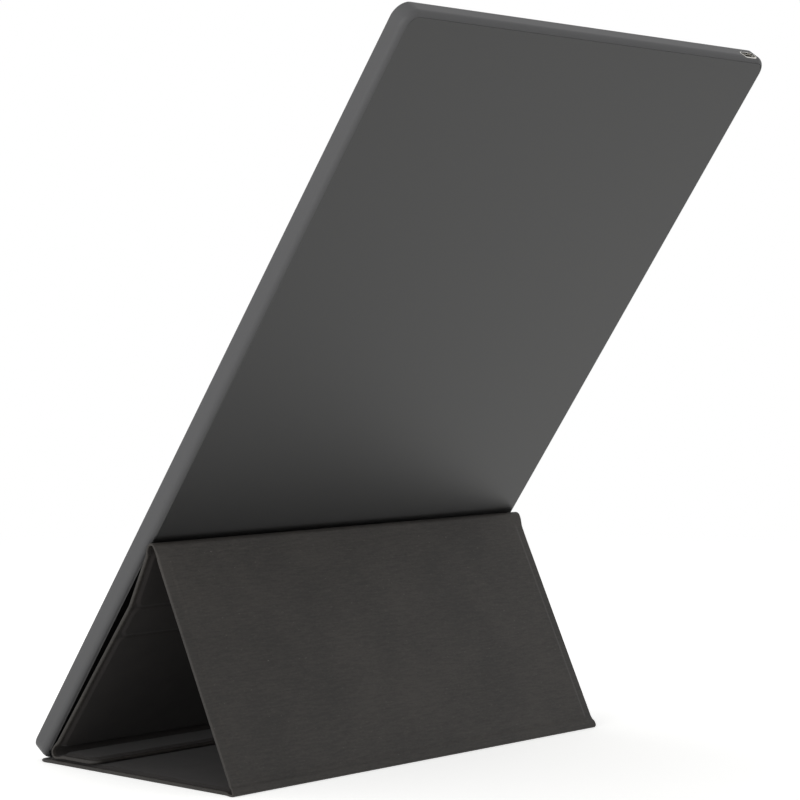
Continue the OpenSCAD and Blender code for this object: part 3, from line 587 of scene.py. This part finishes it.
def spreadSides(spec, x, flat, folds):
    # near a fold the sides spread a little, and the spread dies away along the run
    spread = np.zeros(flat.shape)
    for fold in folds:
        spread = np.maximum(spread, spec["flare"] * (1 - smoothRamp(np.abs(flat - fold) / spec["flareReach"])))
    nearSide = smoothRamp((np.abs(x) - spec["width"] / 2 + spec["flareEdge"]) / spec["flareFade"])
    return x + np.sign(x) * spread * nearSide


def coverPanel(spec, name, pathOf, boards, low, high, freeEnds, folds, thinEnd=False, sink=0.0):
    # leather skin whose edge is turned in, and a lining laid inside the turned edge
    pieces = []
    for part, slotName, inset in (("Skin", "cover_leather", 0), ("Lining", "cover_lining", spec["turnIn"])):
        rim = spec["hemThick"] / 2 if part == "Skin" else spec["liningRim"]
        x, flat = panelGrid(spec, boards, low, high, freeEnds, inset, rim)
        outer, inner, cavity, thick, fromRim = panelHeights(spec, x, flat, boards, low, high, freeEnds,
                                                            thinEnd, sink)
        under = inner - spec["lining"]  # the lining's lower face
        if part == "Skin":
            fall = roundOver(fromRim, thick / 2)
            onTurnIn = fromRim < spec["turnIn"] - spec["turnGap"]
            back = under - spec["liningGap"]
            back = back - (back + spec["foldRadius"] - spec["skin"] + spec["turnGap"]) * cavity
            lower, upper = outer + fall, np.where(onTurnIn, inner - fall, back)
        else:
            lower, upper = under, inner - roundOver(fromRim - spec["turnIn"], spec["liningRim"])
        x = spreadSides(spec, x, flat, folds)
        path = pathOf(flat)
        pieces.append(closedShell(spec, name + part, liftPoints(path, x, lower), liftPoints(path, x, upper),
                                  slotName))
    return pieces


def foldPath(spec, axis, before, after):
    # a fold's rows: a flat run up to its axis, the turn about the axis, and a flat run after it
    lead = np.linspace(-spec["joinAt"], 0, 5)
    turn = np.linspace(before, after, spec["turnSteps"])[1:-1]
    first, second = straightPath(axis, before, lead), straightPath(axis, after, -lead[::-1])
    middle = (np.full(len(turn), axis[0]), np.full(len(turn), axis[1]), np.radians(turn))
    rows = [np.concatenate(parts) for parts in zip(first, middle, second)]
    beside = np.concatenate([lead, np.zeros(len(turn)), -lead[::-1]])
    return beside, rows


def coverFold(spec, name, axis, before, after, radius):
    # the bent strip between two panels, of leather and lining, with the same rounded edge as theirs
    beside, rows = foldPath(spec, axis, before, after)
    pieces = []
    for part, slotName, inset in (("Skin", "cover_leather", 0), ("Lining", "cover_lining", spec["turnIn"])):
        rim = spec["hemThick"] / 2 if part == "Skin" else spec["liningRim"]
        x = panelGrid(spec, [], 0, 1, (False, False), inset, rim)[0][:1]
        x = np.repeat(x, len(beside), 0)
        flat = np.repeat(beside[:, None], x.shape[1], 1)
        path = [np.repeat(row[:, None], x.shape[1], 1) for row in rows]
        fromRim = spec["width"] / 2 - np.abs(x)
        outer, inner = np.full(x.shape, -radius), np.full(x.shape, -radius + spec["foldThick"])
        under = inner - spec["lining"]
        if part == "Skin":
            fall = roundOver(fromRim, spec["foldThick"] / 2)
            onTurnIn = fromRim < spec["turnIn"] - spec["turnGap"]
            lower, upper = outer + fall, np.where(onTurnIn, inner - fall, under - spec["liningGap"])
        else:
            lower, upper = under, inner - roundOver(fromRim - spec["turnIn"], spec["liningRim"])
        x = spreadSides(spec, x, flat, [0])
        pieces.append(closedShell(spec, name + part, liftPoints(path, x, lower), liftPoints(path, x, upper),
                                  slotName))
    return pieces


cover = coverSettings
join, margin, crease = cover["joinAt"], cover["foldMargin"], cover["creaseGap"] / 2
frontEnd = cover["upperLength"] + cover["lowerLength"]
stripStart = cover["upperLength"] + cover["stripLength"]
panels = {
    "base": {
        "body": "cover_base", "path": lambda flat: straightPath(cover["baseStart"], 0, flat),
        "boards": [(cover["baseFront"] + cover["baseFoot"], -margin)],
        "from": cover["baseFront"], "to": -join, "free": (True, False), "folds": [0], "thinEnd": True,
    },
    "rear": {
        "body": "rear_flap", "path": lambda flat: straightPath(cover["flapStart"], cover["flap"], flat),
        "boards": [(margin, cover["flapLength"] - margin)],
        "from": join, "to": cover["flapLength"] - join, "free": (False, False),
        "folds": [0, cover["flapLength"]],
        "sink": 0.43,  # the leather's border lies this much below its face over the board
    },
    "front": {
        "body": "front_panel", "path": lambda flat: creasedPath(cover, flat),
        "boards": [(margin, cover["upperLength"] - crease),
                   (cover["upperLength"] + crease, stripStart - crease),
                   (stripStart + crease, frontEnd - margin)],
        "from": join, "to": frontEnd - join, "free": (False, False), "folds": [0, frontEnd],
    },
    "tongue": {
        "body": "tongue", "path": lambda flat: straightPath(cover["toe"], 360, flat),
        "boards": [(margin, cover["tongueLength"] - cover["border"])],
        "from": join, "to": cover["tongueLength"], "free": (False, True), "folds": [0],
    },
}
for part, panel in panels.items():
    skin, lining = coverPanel(cover, part, panel["path"], panel["boards"], panel["from"], panel["to"],
                              panel["free"], panel["folds"], panel.get("thinEnd", False),
                              panel.get("sink", 0.0))
    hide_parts(part + "_skin")
    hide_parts(part + "_lining")
    for piece in (skin, lining):
        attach(piece, panel["body"])
print("cover panels ready")

folds = {
    "rear": {"axis": cover["rear"], "turn": (0, cover["flap"]), "radius": cover["rearRadius"],
             "bodies": ("cover_base", "rear_flap"), "bendRadius": 0.88},
    "ridge": {"axis": cover["ridge"], "turn": (cover["flap"], cover["upper"]), "radius": cover["foldRadius"],
              "bodies": ("rear_flap", "front_panel"), "bendRadius": 2.1},
    "toe": {"axis": cover["toe"], "turn": (cover["lower"], 360), "radius": cover["foldRadius"],
            "bodies": ("front_panel", "tongue"), "bendRadius": 2.1},
}
for part, fold in folds.items():
    for piece in coverFold(cover, part + "Fold", fold["axis"], *fold["turn"], fold["radius"]):
        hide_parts(part + "_fold")
        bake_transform(piece)
print("folds ready")
